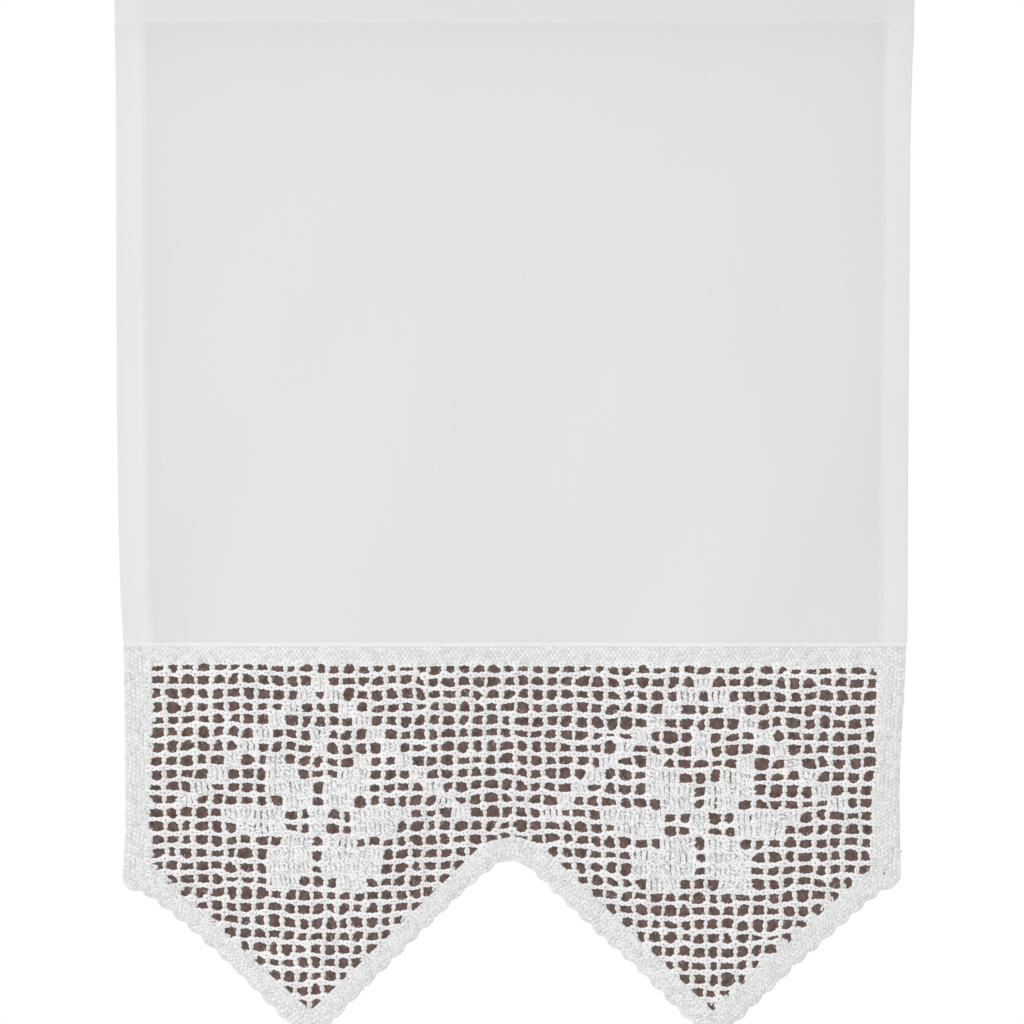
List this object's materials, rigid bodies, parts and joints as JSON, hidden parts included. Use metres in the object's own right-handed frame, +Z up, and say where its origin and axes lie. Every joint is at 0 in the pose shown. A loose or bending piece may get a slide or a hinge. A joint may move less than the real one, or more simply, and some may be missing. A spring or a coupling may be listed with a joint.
{
  "type": "cafe curtain",
  "caption": "White cafe curtain: a fine woven panel with a rod pocket and a filet crochet border in two points.",
  "frame": {"origin": "on the axis of the rod that the pocket takes, at mid width of the curtain", "axes": "+X across the curtain to the right as the room sees it, +Y away from the room towards the window, +Z up"},
  "size_m": [0.45, 0.013, 0.6],
  "materials": {
    "white_cloth": "fine matt plain weave, slightly sheer",
    "white_yarn": "matt cotton crochet yarn"
  },
  "bodies": {
    "root": {"heading": "white_cloth", "panel": "white_cloth", "filet_lace": "white_yarn", "picot_edging": "white_yarn"}
  },
  "joints": []
}
